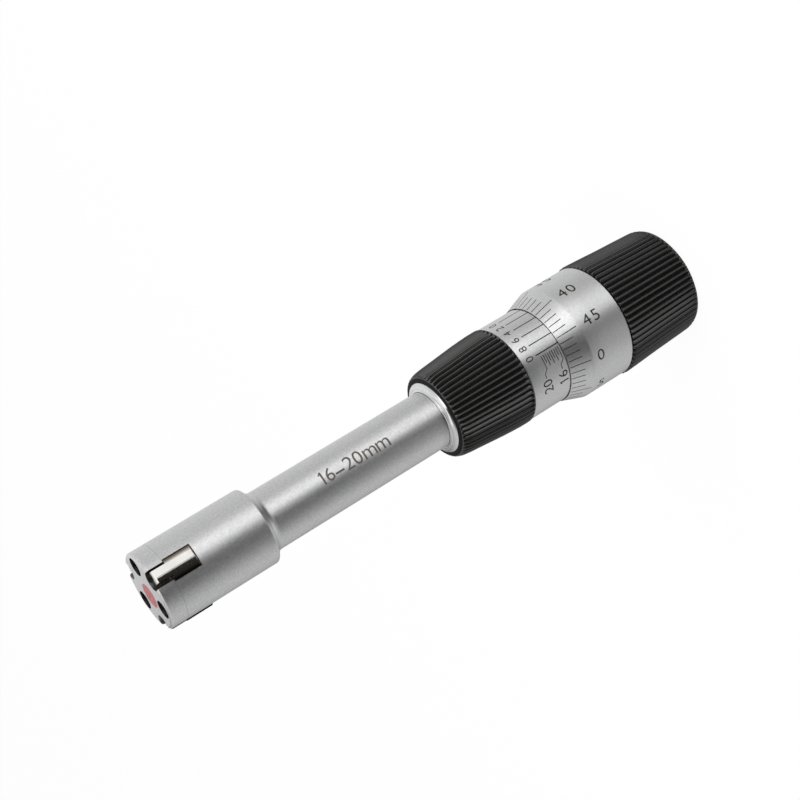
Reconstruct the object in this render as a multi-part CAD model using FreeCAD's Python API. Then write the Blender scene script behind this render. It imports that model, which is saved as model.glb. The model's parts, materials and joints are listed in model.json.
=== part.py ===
import FreeCAD, Part
import math
import os

# Inside micrometer for bores of 16 to 20 mm, in millimetres.
# It stands on the end of its ratchet knob, with the measuring head at the top
# and the zero line of its scale facing the front, along -Y.
# Depths are measured down from the face of the head.

V = FreeCAD.Vector

# overall
running_gap = 0.03
joint_gap = 0.06

# scale
range_low = 16.0
range_high = 20.0
reading = 15.4545
thread_pitch = 0.5
cone_angle = 53.13

# measuring head
head_dia = 14.8
head_depth = 22.2
head_edge_round = 0.6
shoulder_round = 0.45
shoulder_dia = 13.2
neck_fillet = 1.6
cap_thickness = 3.35
neck_dia = 11.45
neck_length = 39.14
cavity_room = 1.2
rod_guide_length = 6.6
neck_bore_dia = 6.6
spigot_step = 1.225
spigot_length = 7.0
spigot_bore_dia = 6.0

# anvils
anvil_count = 3
anvil_turn = -10.4
anvil_width = 4.28
anvil_depth = 8.7
anvil_front_width = 2.3
anvil_front_shift = 0.12
anvil_front_floor = 6.2
anvil_front_depth = 0.5
anvil_crown = 7.0
anvil_edge_round = 0.35
anvil_toe_width = 2.2
anvil_toe_height = 3.1
anvil_toe_radius = 0.75
notch_floor = 4.7
notch_gap = 0.62

# screws of the head cap
screw_circle_dia = 10.04
screw_head_dia = 3.4
screw_head_height = 1.0
screw_sink = 0.9
screw_sink_gap = 0.07
screw_dia = 1.6
screw_depth = 8.0
screw_socket = 1.3
screw_socket_depth = 0.5

# red disc in the face
disc_dia = 4.76
disc_thickness = 0.75
disc_offset = 0.7
disc_turn = 90.0

# cone and push rod
cone_tip_depth = 5.9
cone_dia = 7.8
cone_length = 10.3
cone_land = 0.15
cap_cone_bore_depth = 1.25
rod_dia = 4.0
rod_overhang = 7.86
rod_spigot_dia = 2.6
rod_spigot_length = 4.0
rod_flange_gap = 0.5
rod_flange_thickness = 1.6
bush_length = 9.0
bush_inset = 2.34
ball_dia = 2.5
spring_wire = 0.5
spring_length = 14.0
spring_turns = 5
spring_end_gap = 0.15

# collar, barrel and graduated sleeve
collar_lip = 0.225
collar_inset = 0.73
collar_flare = 0.82
collar_length = 1.6
grip_wall = 0.8
sleeve_wall = 1.35
barrel_socket_room = 1.16
barrel_bore_gap = 0.5
nut_wall = 1.8
thread_hub_length = 6.8
thread_inset = 0.38
thread_dia = 7.0
barrel_end_room = 0.1545
hub_nose_length = 2.2
hub_slot_width = 0.6
hub_slot_length = 6.0
hub_slot_count = 3
nut_length = 3.0
nut_gap = 0.7
sleeve_inset = 0.15
sleeve_shown_length = 8.68
sleeve_end_room = 0.4545
sleeve_gap = 0.06
sleeve_edge = 0.12

# front grip
grip_length = 16.36
grip_setback = 0.92
grip_nose_drop = 1.5
grip_mid_drop = 0.28
grip_mid_length = 10.14
grip_dia = 20.0
grip_nose_round = 1.1
grip_shoulder_drop = 0.82
grip_shoulder_length = 4.54
rib_inset = 1.04
front_rib_count = 53
rib_height = 0.42
rib_gap_share = 0.5

# thimble
thimble_length = 14.4
thimble_lip = 0.14
thimble_bevel_length = 4.6
thimble_wall = 1.74
thimble_edge = 0.3
thimble_web_length = 3.7
spindle_head_dia = 9.0
spindle_nose_dia = 5.0
spindle_taper_dia = 8.0

# ratchet and knob
washer_gap = 0.2
washer_thickness = 1.4
tooth_count = 12
tooth_height = 0.7
tooth_width = 1.9
tooth_gap = 0.1
plate_thickness = 1.6
plate_hub_dia = 8.6
key_count = 3
key_width = 2.0
key_height = 0.8
stud_dia = 4.0
stud_thread_length = 6.0
stud_head_dia = 8.0
stud_head_height = 1.8
stud_slot_width = 1.0
stud_slot_depth = 0.8
ratchet_wire = 0.5
ratchet_turns = 3
core_wall = 3.0
knob_wall = 0.9
core_gap = 0.12
core_wall_least = 1.0
core_web_setback = 7.0
core_web_thickness = 1.4
knob_gap = 0.15
knob_length = 18.1
knob_lift = 0.3
knob_mid_drop = 0.45
knob_mid_length = 9.15
knob_rear_drop = 0.85
knob_edge = 0.3
knob_round = 0.8
knob_rib_inset = 0.65
knob_rib_outset = 1.3
knob_rib_height = 0.4
rear_rib_count = 61
end_disc_thickness = 1.6
end_disc_step = 0.25

# what follows from the sizes above
half_cone = math.radians(cone_angle / 2)
cone_slope = math.tan(half_cone)
contact_radius = reading / 2
head_radius = head_dia / 2
travel = (range_high - reading) / (2 * cone_slope)
anvil_travel = (range_high - reading) / 2
notch_radius = anvil_front_width / 2 + notch_gap
cone_tip_radius = anvil_toe_radius + cone_slope * (cone_tip_depth - cap_thickness) - joint_gap / 2
cavity_radius = cone_dia / 2 + joint_gap
cavity_depth = cone_tip_depth + cone_length + cavity_room
rod_ledge_depth = cavity_depth + rod_guide_length
rod_flange_depth = rod_ledge_depth + spring_length
rod_flange_dia = neck_bore_dia - 2 * rod_flange_gap
spring_mean_dia = rod_dia + 2 * spring_wire
screw_sink_dia = screw_head_dia + 2 * screw_sink_gap
neck_depth = head_depth + neck_length
spigot_dia = neck_dia - 2 * spigot_step
collar_dia = neck_dia + 2 * collar_lip
grip_nose_dia = grip_dia - 2 * grip_nose_drop
grip_mid_dia = grip_dia - 2 * grip_mid_drop
grip_shoulder_dia = grip_dia - 2 * grip_shoulder_drop
barrel_dia = grip_nose_dia - 2 * grip_wall
collar_wide_dia = barrel_dia - 2 * collar_inset
sleeve_dia = grip_dia - 2 * sleeve_inset
barrel_step_dia = sleeve_dia - 2 * sleeve_wall
bush_depth = neck_depth - bush_inset - bush_length
rod_end_depth = neck_depth + rod_overhang
barrel_socket_depth = neck_depth + spigot_length + barrel_socket_room
spindle_nose_depth = rod_end_depth + ball_dia * 3 / 4 + running_gap
barrel_bore_dia = spindle_nose_dia + 2 * barrel_bore_gap
grip_depth = neck_depth + grip_setback
grip_shoulder_depth = grip_depth + grip_shoulder_length
grip_mid_depth = grip_depth + grip_mid_length
rib_start_depth = grip_depth + rib_inset
sleeve_depth = grip_depth + grip_length
thread_start_depth = sleeve_depth + thread_inset
thimble_depth = sleeve_depth + sleeve_shown_length
thimble_bevel_depth = thimble_depth + thimble_bevel_length
thimble_end_depth = thimble_depth + thimble_length
thimble_web_depth = thimble_end_depth - thimble_web_length
thimble_bore_dia = sleeve_dia + 2 * sleeve_gap
thimble_mouth_dia = thimble_bore_dia + 2 * thimble_lip
thimble_dia = thimble_bore_dia + 2 * thimble_wall
barrel_end_depth = thimble_web_depth - travel - barrel_end_room
sleeve_end_depth = thimble_web_depth - travel - sleeve_end_room
thread_hub_depth = barrel_end_depth - thread_hub_length
nut_dia = barrel_step_dia - 2 * nut_gap
thread_hub_dia = nut_dia - 2 * nut_wall
knob_depth = thimble_end_depth + knob_gap
knob_mid_depth = knob_depth + knob_mid_length
knob_front_dia = thimble_dia + 2 * knob_lift
knob_mid_dia = knob_front_dia - 2 * knob_mid_drop
knob_rear_dia = knob_front_dia - 2 * knob_rear_drop
core_dia = knob_rear_dia - 2 * knob_wall
core_bore_dia = core_dia - 2 * core_wall
overall_length = knob_depth + knob_length + end_disc_step
core_web_depth = overall_length - core_web_setback
knob_rib_start = knob_depth + knob_rib_inset
knob_rib_end = overall_length - knob_rib_outset
washer_dia = core_bore_dia - 2 * washer_gap
far = overall_length


def height(depth):
    return overall_length - depth


def spot(radius, depth):
    return V(radius, 0, height(depth))


# A closed outline through corners of (radius, depth, rounding), with each rounded
# corner drawn as an arc that meets both sides smoothly.
def outline(corners):
    starts = []
    ends = []
    middles = []
    count = len(corners)
    for i in range(count):
        radius, depth, rounding = corners[i]
        here = spot(radius, depth)
        before = spot(*corners[i - 1][:2])
        after = spot(*corners[(i + 1) % count][:2])
        if rounding == 0:
            starts.append(here)
            ends.append(here)
            middles.append(None)
            continue
        back = (before - here).normalize()
        onward = (after - here).normalize()
        half = back.getAngle(onward) / 2
        reach = rounding / math.tan(half)
        inward = (back + onward).normalize()
        centre = here + inward * (rounding / math.sin(half))
        starts.append(here + back * reach)
        ends.append(here + onward * reach)
        middles.append(centre - inward * rounding)
    edges = []
    for i in range(count):
        if middles[i] is not None:
            edges.append(Part.Arc(starts[i], middles[i], ends[i]).toShape())
        leave = ends[i]
        reach_next = starts[(i + 1) % count]
        if leave.distanceToPoint(reach_next) > Part.Precision.confusion():
            edges.append(Part.makeLine(leave, reach_next))
    return Part.Face(Part.Wire(edges))


def turned(corners):
    return outline(corners).revolve(V(0, 0, 0), V(0, 0, 1), 360)


def rod(diameter, top_depth, low_depth, x=0.0, y=0.0):
    length = low_depth - top_depth
    return Part.makeCylinder(diameter / 2, length, V(x, y, height(low_depth)))


def tube(outer_dia, inner_dia, top_depth, low_depth):
    return rod(outer_dia, top_depth, low_depth).cut(rod(inner_dia, top_depth, low_depth))


# A block that runs outward from the axis toward the front, centred on its width.
def radial_block(width, near, out, top_depth, low_depth):
    corner = V(-width / 2, -out, height(low_depth))
    return Part.makeBox(width, out - near, low_depth - top_depth, corner)


# Turns run round the axis from the front toward -X.
def turn(shape, angle):
    copy = shape.copy()
    copy.rotate(V(0, 0, 0), V(0, 0, 1), -angle)
    return copy


def ring_of(shape, count, first=0.0):
    return [turn(shape, first + 360.0 * i / count) for i in range(count)]


def anvil_turns():
    return [anvil_turn + 360.0 * i / anvil_count for i in range(anvil_count)]


def screw_turns():
    return [angle + 180.0 / anvil_count for angle in anvil_turns()]


# measuring head

def make_head_body():
    body = turned([
        (0, cap_thickness, 0),
        (head_radius, cap_thickness, 0),
        (head_radius, head_depth, shoulder_round),
        (shoulder_dia / 2, head_depth + shoulder_round, 0),
        (neck_dia / 2, head_depth + shoulder_round + neck_fillet / 2, neck_fillet),
        (neck_dia / 2, neck_depth, 0),
        (spigot_dia / 2, neck_depth, 0),
        (spigot_dia / 2, neck_depth + spigot_length, 0),
        (0, neck_depth + spigot_length, 0),
    ])
    body = body.cut(rod(2 * cavity_radius, 0, cavity_depth))
    body = body.cut(rod(rod_dia + 2 * joint_gap, 0, rod_ledge_depth))
    body = body.cut(rod(neck_bore_dia, rod_ledge_depth, neck_depth))
    body = body.cut(rod(spigot_bore_dia, neck_depth, neck_depth + spigot_length))
    slot = radial_block(
        anvil_width + 2 * running_gap, 0, head_dia, 0, anvil_depth + running_gap
    )
    body = body.cut(ring_of(slot, anvil_count, anvil_turn))
    for angle in screw_turns():
        hole = rod(screw_dia, 0, screw_depth, 0, -screw_circle_dia / 2)
        body = body.cut(turn(hole, angle))
    return body


def make_notch():
    end_y = notch_floor + notch_radius
    notch = radial_block(2 * notch_radius, end_y, head_dia, 0, cap_thickness)
    return notch.fuse(rod(2 * notch_radius, 0, cap_thickness, 0, -end_y))


def make_head_cap():
    cap = turned([
        (0, 0, 0),
        (head_radius, 0, head_edge_round),
        (head_radius, cap_thickness, 0),
        (0, cap_thickness, 0),
    ])
    cap = cap.cut(ring_of(make_notch(), anvil_count, anvil_turn))
    cap = cap.cut(make_cone_seat())
    for angle in screw_turns():
        out = -screw_circle_dia / 2
        sink = rod(screw_sink_dia, 0, screw_sink + screw_head_height, 0, out)
        hole = rod(screw_dia + 2 * joint_gap, 0, cap_thickness, 0, out)
        cap = cap.cut(turn(sink.fuse(hole), angle))
    return cap.cut(make_centre_disc())


# The cap is hollowed behind so that the cone's tip can come forward into it.
def make_cone_seat():
    tip = cone_tip_radius + joint_gap
    mouth = tip + cone_slope * (cap_thickness - cap_cone_bore_depth)
    return turned([
        (0, cap_cone_bore_depth, 0),
        (tip, cap_cone_bore_depth, 0),
        (mouth, cap_thickness, 0),
        (0, cap_thickness, 0),
    ])


def make_cap_screws():
    out = -screw_circle_dia / 2
    head_end = screw_sink + screw_head_height
    screw = rod(screw_head_dia, screw_sink, head_end, 0, out)
    screw = screw.fuse(rod(screw_dia, screw_sink, screw_depth, 0, out))
    across = screw_socket / 2
    corners = []
    for i in range(7):
        angle = math.radians(60 * i)
        reach = across / math.cos(math.radians(30))
        corners.append(V(reach * math.cos(angle), out + reach * math.sin(angle), height(screw_sink)))
    socket = Part.Face(Part.makePolygon(corners)).extrude(V(0, 0, -screw_socket_depth))
    screw = screw.cut(socket)
    return Part.Compound([turn(screw, angle) for angle in screw_turns()])


def make_centre_disc():
    return turn(rod(disc_dia, 0, disc_thickness, 0, -disc_offset), disc_turn)


# anvils, each a block with a crowned measuring face, a narrow nose that lies in the
# notch of the cap and a sloping toe that rests on the cone

def make_anvil():
    start = cap_thickness + running_gap
    face = contact_radius
    crown = rod(2 * anvil_crown, 0, anvil_depth, 0, anvil_crown - face)
    wide = radial_block(anvil_width, anvil_toe_height, far, start, anvil_depth)
    toe = radial_block(anvil_toe_width, 0, anvil_toe_height, start, anvil_depth)
    nose = radial_block(
        anvil_front_width, anvil_front_floor, far, anvil_front_depth, start
    )
    nose.translate(V(anvil_front_shift, 0, 0))
    block = wide.fuse([toe, nose]).common(crown).removeSplitter()
    outer = [edge for edge in block.Edges if is_crown_end(edge)]
    block = block.makeFillet(anvil_edge_round, outer)
    return block.cut(make_toe_slope(start))


# The rounded edges are the arcs at both ends of the crowned face.
def is_crown_end(edge):
    curve = edge.Curve
    if not isinstance(curve, Part.Circle):
        return False
    level = edge.BoundBox
    flat = level.ZLength < running_gap
    at_end = abs(level.ZMin - height(anvil_depth)) < running_gap
    at_nose = abs(level.ZMax - height(anvil_front_depth)) < running_gap
    return flat and (at_end or at_nose)


def make_toe_slope(start):
    low_radius = anvil_toe_radius + cone_slope * (anvil_depth - cap_thickness)
    width = head_dia
    corners = [
        V(-width / 2, 0, height(start)),
        V(-width / 2, -anvil_toe_radius, height(cap_thickness)),
        V(-width / 2, -low_radius, height(anvil_depth)),
        V(-width / 2, 0, height(anvil_depth)),
    ]
    corners.append(corners[0])
    return Part.Face(Part.makePolygon(corners)).extrude(V(width, 0, 0))


# cone, push rod and their fixed guides

def make_cone():
    full = cone_dia / 2
    tip = cone_tip_radius
    shoulder = cone_tip_depth + (full - tip) / cone_slope
    end = cone_tip_depth + cone_length
    cone = turned([
        (0, cone_tip_depth, 0),
        (tip - cone_land, cone_tip_depth, 0),
        (tip, cone_tip_depth + cone_land * 2 * cone_slope, 0),
        (full, shoulder + cone_land * 2 * cone_slope, 0),
        (full, end - cone_land, 0),
        (full - cone_land, end, 0),
        (0, end, 0),
    ])
    return cone.cut(rod(rod_spigot_dia, end - rod_spigot_length, end))


def make_push_rod():
    start = cone_tip_depth + cone_length
    seat = ball_dia / 2
    shaft = rod(rod_dia, start, rod_end_depth)
    spigot = rod(rod_spigot_dia, start - rod_spigot_length, start)
    flange_end = rod_flange_depth + rod_flange_thickness
    flange = rod(rod_flange_dia, rod_flange_depth, flange_end)
    whole = shaft.fuse([spigot, flange]).removeSplitter()
    return whole.cut(Part.makeSphere(seat, V(0, 0, height(rod_end_depth + seat / 2))))


def make_rod_ball():
    seat = ball_dia / 2
    return Part.makeSphere(seat, V(0, 0, height(rod_end_depth + seat / 2)))


def make_rod_bush():
    outer = neck_bore_dia
    inner = rod_dia + 2 * running_gap
    return tube(outer, inner, bush_depth, bush_depth + bush_length)


# A coil of round wire between two depths, swept along a helix.
def coil(mean_dia, wire, turns, top_depth, low_depth):
    reach = low_depth - top_depth - wire
    helix = Part.makeHelix(reach / turns, reach, mean_dia / 2)
    start = V(mean_dia / 2, 0, 0)
    section = Part.makePolygon([
        start + V(-wire / 2, 0, -wire / 2),
        start + V(wire / 2, 0, -wire / 2),
        start + V(wire / 2, 0, wire / 2),
        start + V(-wire / 2, 0, wire / 2),
        start + V(-wire / 2, 0, -wire / 2),
    ])
    shape = Part.Wire(helix.Edges).makePipeShell([section], True, True)
    shape.translate(V(0, 0, height(low_depth) + wire / 2))
    return shape


def make_rod_spring():
    top = rod_ledge_depth + spring_end_gap
    low = rod_flange_depth - spring_end_gap
    return coil(spring_mean_dia, spring_wire, spring_turns, top, low)


# fixed parts behind the neck

def make_collar():
    flare_end = neck_depth + collar_flare
    ring = turned([
        (0, neck_depth, 0),
        (collar_dia / 2, neck_depth, 0),
        (collar_wide_dia / 2, flare_end, 0),
        (collar_wide_dia / 2, neck_depth + collar_length, 0),
        (0, neck_depth + collar_length, 0),
    ])
    return ring.cut(rod(spigot_dia, neck_depth, neck_depth + collar_length))


def make_barrel():
    start = neck_depth + collar_length
    hub = thread_hub_dia / 2
    barrel = turned([
        (0, start, 0),
        (barrel_dia / 2, start, 0),
        (barrel_dia / 2, sleeve_depth, 0),
        (barrel_step_dia / 2, sleeve_depth, 0),
        (barrel_step_dia / 2, thread_hub_depth, 0),
        (hub, thread_hub_depth, 0),
        (hub, barrel_end_depth - hub_nose_length, 0),
        (hub - hub_nose_length * cone_slope / 2, barrel_end_depth, 0),
        (0, barrel_end_depth, 0),
    ])
    barrel = barrel.cut(rod(spigot_dia, start, barrel_socket_depth))
    barrel = barrel.cut(rod(barrel_bore_dia, start, thread_start_depth))
    thread_bore = rod(thread_dia + 2 * running_gap, thread_start_depth, barrel_end_depth)
    barrel = barrel.cut(thread_bore)
    slot_top = barrel_end_depth - hub_slot_length
    slot = radial_block(hub_slot_width, 0, thread_hub_dia, slot_top, barrel_end_depth)
    return barrel.cut(ring_of(slot, hub_slot_count))


def make_thread_nut():
    start = barrel_end_depth - hub_nose_length - nut_length
    end = barrel_end_depth - hub_nose_length
    return tube(nut_dia, thread_hub_dia, start, end)


def make_sleeve():
    outer = sleeve_dia / 2
    inner = barrel_step_dia / 2
    return turned([
        (inner, sleeve_depth, 0),
        (outer - sleeve_edge, sleeve_depth, 0),
        (outer, sleeve_depth + sleeve_edge, 0),
        (outer, sleeve_end_depth, 0),
        (inner, sleeve_end_depth, 0),
    ])


# A groove between two ribs, cut across the full height of the ribs. Its floor follows
# three points of (radius, depth) at the rib tips and runs out at the start.
def rib_groove(tips, rib_height_here, count, run_out, open_end):
    tip_circle = math.tau * tips[-1][0]
    width = tip_circle / count * rib_gap_share
    lift = far
    floor = [(radius - rib_height_here, depth) for radius, depth in tips]
    first = floor[0]
    last = floor[-1]
    corners = [(lift, first[1] - run_out), (first[0] + rib_height_here, first[1] - run_out)]
    corners += floor
    if open_end:
        corners.append((last[0], last[1] + run_out))
        corners.append((lift, last[1] + run_out))
    else:
        corners.append((last[0] + rib_height_here, last[1] + run_out))
        corners.append((lift, last[1] + run_out))
    side = [V(-width / 2, -radius, height(depth)) for radius, depth in corners]
    side.append(side[0])
    return Part.Face(Part.makePolygon(side)).extrude(V(width, 0, 0))


def make_front_grip():
    nose = grip_nose_dia / 2
    lip_end = neck_depth + collar_length
    grip = turned([
        (collar_wide_dia / 2, grip_depth, 0),
        (nose, grip_depth, grip_nose_round),
        (grip_shoulder_dia / 2, grip_shoulder_depth, 0),
        (grip_mid_dia / 2, grip_mid_depth, 0),
        (grip_dia / 2, sleeve_depth, 0),
        (barrel_dia / 2, sleeve_depth, 0),
        (barrel_dia / 2, lip_end, 0),
        (collar_wide_dia / 2, lip_end, 0),
    ])
    run_out = rib_height * 2
    first = rib_start_depth + run_out
    rise = (grip_shoulder_dia / 2 - nose) / (grip_shoulder_depth - grip_depth)
    tips = [
        (nose + rise * (first - grip_depth), first),
        (grip_shoulder_dia / 2, grip_shoulder_depth),
        (grip_mid_dia / 2, grip_mid_depth),
        (grip_dia / 2, sleeve_depth),
    ]
    groove = rib_groove(tips, rib_height, front_rib_count, run_out, True)
    return grip.cut(ring_of(groove, front_rib_count))


# spindle and thimble

def make_spindle():
    return turned([
        (0, spindle_nose_depth, 0),
        (spindle_nose_dia / 2, spindle_nose_depth, 0),
        (spindle_nose_dia / 2, thread_start_depth + travel + joint_gap, 0),
        (thread_dia / 2, thread_start_depth + travel + joint_gap, 0),
        (thread_dia / 2, thimble_web_depth, 0),
        (spindle_taper_dia / 2, thimble_web_depth, 0),
        (spindle_head_dia / 2, thimble_end_depth, 0),
        (stud_dia / 2, thimble_end_depth, 0),
        (stud_dia / 2, thimble_end_depth - stud_thread_length, 0),
        (0, thimble_end_depth - stud_thread_length, 0),
    ])


def make_thimble():
    bore = thimble_bore_dia / 2
    return turned([
        (bore, thimble_depth, 0),
        (thimble_mouth_dia / 2, thimble_depth, 0),
        (thimble_dia / 2, thimble_bevel_depth, 0),
        (thimble_dia / 2, thimble_end_depth - thimble_edge, 0),
        (thimble_dia / 2 - thimble_edge, thimble_end_depth, 0),
        (spindle_head_dia / 2, thimble_end_depth, 0),
        (spindle_taper_dia / 2, thimble_web_depth, 0),
        (bore, thimble_web_depth, 0),
    ])


# ratchet and knob; the washer and the plate carry sloping teeth that mesh

def ratchet_teeth(base_depth, toward_head, wall):
    way = 1 if toward_head else -1
    base = height(base_depth)
    corners = [
        V(wall, -far, base),
        V(wall, -far, base + way * tooth_height),
        V(wall + way * tooth_width, -far, base),
    ]
    side = Part.Face(Part.makePolygon(corners + [corners[0]]))
    tooth = side.extrude(V(0, far, 0))
    top_depth = base_depth - tooth_height
    low_depth = base_depth + tooth_height
    room = tube(washer_dia, plate_hub_dia + 2 * tooth_gap, top_depth, low_depth)
    return ring_of(tooth.common(room), tooth_count)


def make_ratchet_washer():
    start = thimble_end_depth
    end = start + washer_thickness
    plate = rod(washer_dia, start, end)
    plate = plate.fuse(ratchet_teeth(end, False, tooth_width / 2))
    return plate.cut(rod(stud_dia + 2 * joint_gap, start - joint_gap, end + tooth_height))


def plate_depth():
    return thimble_end_depth + washer_thickness + tooth_height + joint_gap


def stud_head_depth():
    return core_web_depth + core_web_thickness + joint_gap


def make_keys(gap, top_depth, low_depth):
    inner = core_bore_dia / 2 - key_height - gap
    width = key_width + 2 * gap
    key = radial_block(width, inner, core_dia / 2 - core_wall_least, top_depth, low_depth)
    return ring_of(key, key_count)


def make_ratchet_plate():
    start = plate_depth()
    end = start + plate_thickness
    plate = rod(washer_dia, start, end)
    plate = plate.fuse(ratchet_teeth(start, True, tooth_width / 2 + tooth_gap))
    plate = plate.cut(rod(plate_hub_dia, start - tooth_height, end))
    return plate.cut(make_keys(joint_gap, start - tooth_height, end))


def make_ratchet_stud():
    start = thimble_end_depth - stud_thread_length
    top = stud_head_depth()
    end = top + stud_head_height
    stud = rod(stud_dia, start, end).fuse(rod(stud_head_dia, top, end))
    slot = Part.makeBox(
        stud_head_dia, stud_slot_width, stud_slot_depth,
        V(-stud_head_dia / 2, -stud_slot_width / 2, height(end)),
    )
    return stud.cut(slot)


def make_ratchet_spring():
    start = plate_depth() + plate_thickness + spring_end_gap
    end = core_web_depth - spring_end_gap
    mean = (washer_dia + plate_hub_dia) / 2
    return coil(mean, ratchet_wire, ratchet_turns, start, end)


def make_knob_core():
    start = thimble_end_depth + core_gap
    end = overall_length - end_disc_thickness
    web_end = core_web_depth + core_web_thickness
    core = rod(core_dia, start, end)
    core = core.cut(rod(core_bore_dia, start, core_web_depth))
    key_start = plate_depth()
    core = core.fuse(make_keys(0, key_start, core_web_depth)).removeSplitter()
    core = core.cut(rod(stud_dia + 2 * running_gap, core_web_depth, web_end))
    return core.cut(rod(core_bore_dia, web_end, end))


def make_rear_grip():
    front = knob_front_dia / 2
    middle = knob_mid_dia / 2
    rear = knob_rear_dia / 2
    end = overall_length - end_disc_step
    grip = turned([
        (core_dia / 2, knob_depth, 0),
        (front - knob_edge, knob_depth, 0),
        (front, knob_depth + knob_edge, 0),
        (middle, knob_mid_depth, 0),
        (rear, end, knob_round),
        (core_dia / 2, end, 0),
    ])
    run_out = knob_rib_height
    slope = (front - middle) / (knob_mid_depth - knob_depth - knob_edge)
    tail = (middle - rear) / (end - knob_mid_depth)
    first = knob_rib_start + run_out
    last = knob_rib_end - run_out
    tips = [
        (front - slope * (first - knob_depth - knob_edge), first),
        (middle, knob_mid_depth),
        (rear + tail * (end - last), last),
    ]
    groove = rib_groove(tips, knob_rib_height, rear_rib_count, run_out, False)
    return grip.cut(ring_of(groove, rear_rib_count))


def make_end_disc():
    return rod(core_dia, overall_length - end_disc_thickness, overall_length)


pieces = {
    "head_body": make_head_body,
    "head_cap": make_head_cap,
    "cap_screws": make_cap_screws,
    "centre_disc": make_centre_disc,
    "cone": make_cone,
    "push_rod": make_push_rod,
    "rod_ball": make_rod_ball,
    "rod_bush": make_rod_bush,
    "rod_spring": make_rod_spring,
    "collar": make_collar,
    "barrel": make_barrel,
    "thread_nut": make_thread_nut,
    "sleeve": make_sleeve,
    "front_grip": make_front_grip,
    "spindle": make_spindle,
    "thimble": make_thimble,
    "ratchet_washer": make_ratchet_washer,
    "ratchet_plate": make_ratchet_plate,
    "ratchet_spring": make_ratchet_spring,
    "ratchet_stud": make_ratchet_stud,
    "knob_core": make_knob_core,
    "rear_grip": make_rear_grip,
    "end_disc": make_end_disc,
}

os.makedirs("parts", exist_ok=True)
for name, make in pieces.items():
    make().exportStep("parts/" + name + ".step")
anvil = make_anvil()
for number, angle in enumerate(anvil_turns(), start=1):
    turn(anvil, angle).exportStep("parts/anvil_" + str(number) + ".step")
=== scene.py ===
import json
import math

import bmesh
import bpy
from mathutils import Matrix, Vector

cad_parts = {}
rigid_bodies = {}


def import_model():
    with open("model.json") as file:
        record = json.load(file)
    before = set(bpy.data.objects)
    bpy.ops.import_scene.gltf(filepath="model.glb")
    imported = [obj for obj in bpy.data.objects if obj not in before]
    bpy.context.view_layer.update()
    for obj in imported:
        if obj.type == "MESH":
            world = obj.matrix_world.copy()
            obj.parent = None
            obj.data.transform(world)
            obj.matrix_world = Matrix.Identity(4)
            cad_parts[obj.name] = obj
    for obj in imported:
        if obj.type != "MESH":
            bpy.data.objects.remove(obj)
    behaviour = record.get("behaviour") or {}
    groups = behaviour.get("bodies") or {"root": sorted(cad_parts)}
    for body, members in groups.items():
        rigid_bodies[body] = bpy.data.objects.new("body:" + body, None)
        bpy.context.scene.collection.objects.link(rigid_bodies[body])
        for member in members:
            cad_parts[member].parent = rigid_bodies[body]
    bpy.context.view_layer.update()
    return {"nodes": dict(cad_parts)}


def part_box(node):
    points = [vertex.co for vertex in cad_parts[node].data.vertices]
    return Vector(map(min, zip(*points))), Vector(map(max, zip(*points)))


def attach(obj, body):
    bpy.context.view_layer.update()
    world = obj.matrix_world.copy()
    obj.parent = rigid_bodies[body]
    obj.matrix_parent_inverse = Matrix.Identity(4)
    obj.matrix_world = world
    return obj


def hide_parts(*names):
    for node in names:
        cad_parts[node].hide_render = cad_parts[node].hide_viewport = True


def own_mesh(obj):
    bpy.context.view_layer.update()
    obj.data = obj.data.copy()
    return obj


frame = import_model()

mm = 0.001
axisTop = 120.2  # mm, depths count down from the face of the head
fullTurn = 2 * math.pi
nodes = frame["nodes"]


# helpers for the turned and engraved pieces
def deselectAll():
    if bpy.context.object and bpy.context.object.mode != "OBJECT":
        bpy.ops.object.mode_set(mode="OBJECT")
    bpy.ops.object.select_all(action="DESELECT")


def makeActive(piece):
    deselectAll()
    piece.select_set(True)
    bpy.context.view_layer.objects.active = piece


def pickVerts(piece, test):
    mesh = bmesh.from_edit_mesh(piece.data)
    for vert in mesh.verts:
        vert.select_set(test(vert.co))
    mesh.select_flush_mode()
    bmesh.update_edit_mesh(piece.data)


def pickFaces(piece, test):
    bpy.ops.mesh.select_mode(type="FACE")
    mesh = bmesh.from_edit_mesh(piece.data)
    for face in mesh.faces:
        face.select_set(test(face.calc_center_median()))
    bmesh.update_edit_mesh(piece.data)


def paintPicked(piece, finish):
    if finish.name not in piece.data.materials:
        piece.data.materials.append(finish)
    piece.active_material_index = piece.data.materials.find(finish.name)
    bpy.ops.object.material_slot_assign()
    bpy.ops.mesh.select_mode(type="VERT")


def settle(piece, name, angle=30.0):
    makeActive(piece)
    bpy.ops.object.transform_apply(location=True, rotation=True, scale=True)
    bpy.ops.object.shade_smooth_by_angle(angle=math.radians(angle))
    piece.name = name
    piece.data.name = name
    return piece


def applyAll(piece):
    makeActive(piece)
    for modifier in list(piece.modifiers):
        bpy.ops.object.modifier_apply(modifier=modifier.name)


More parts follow.
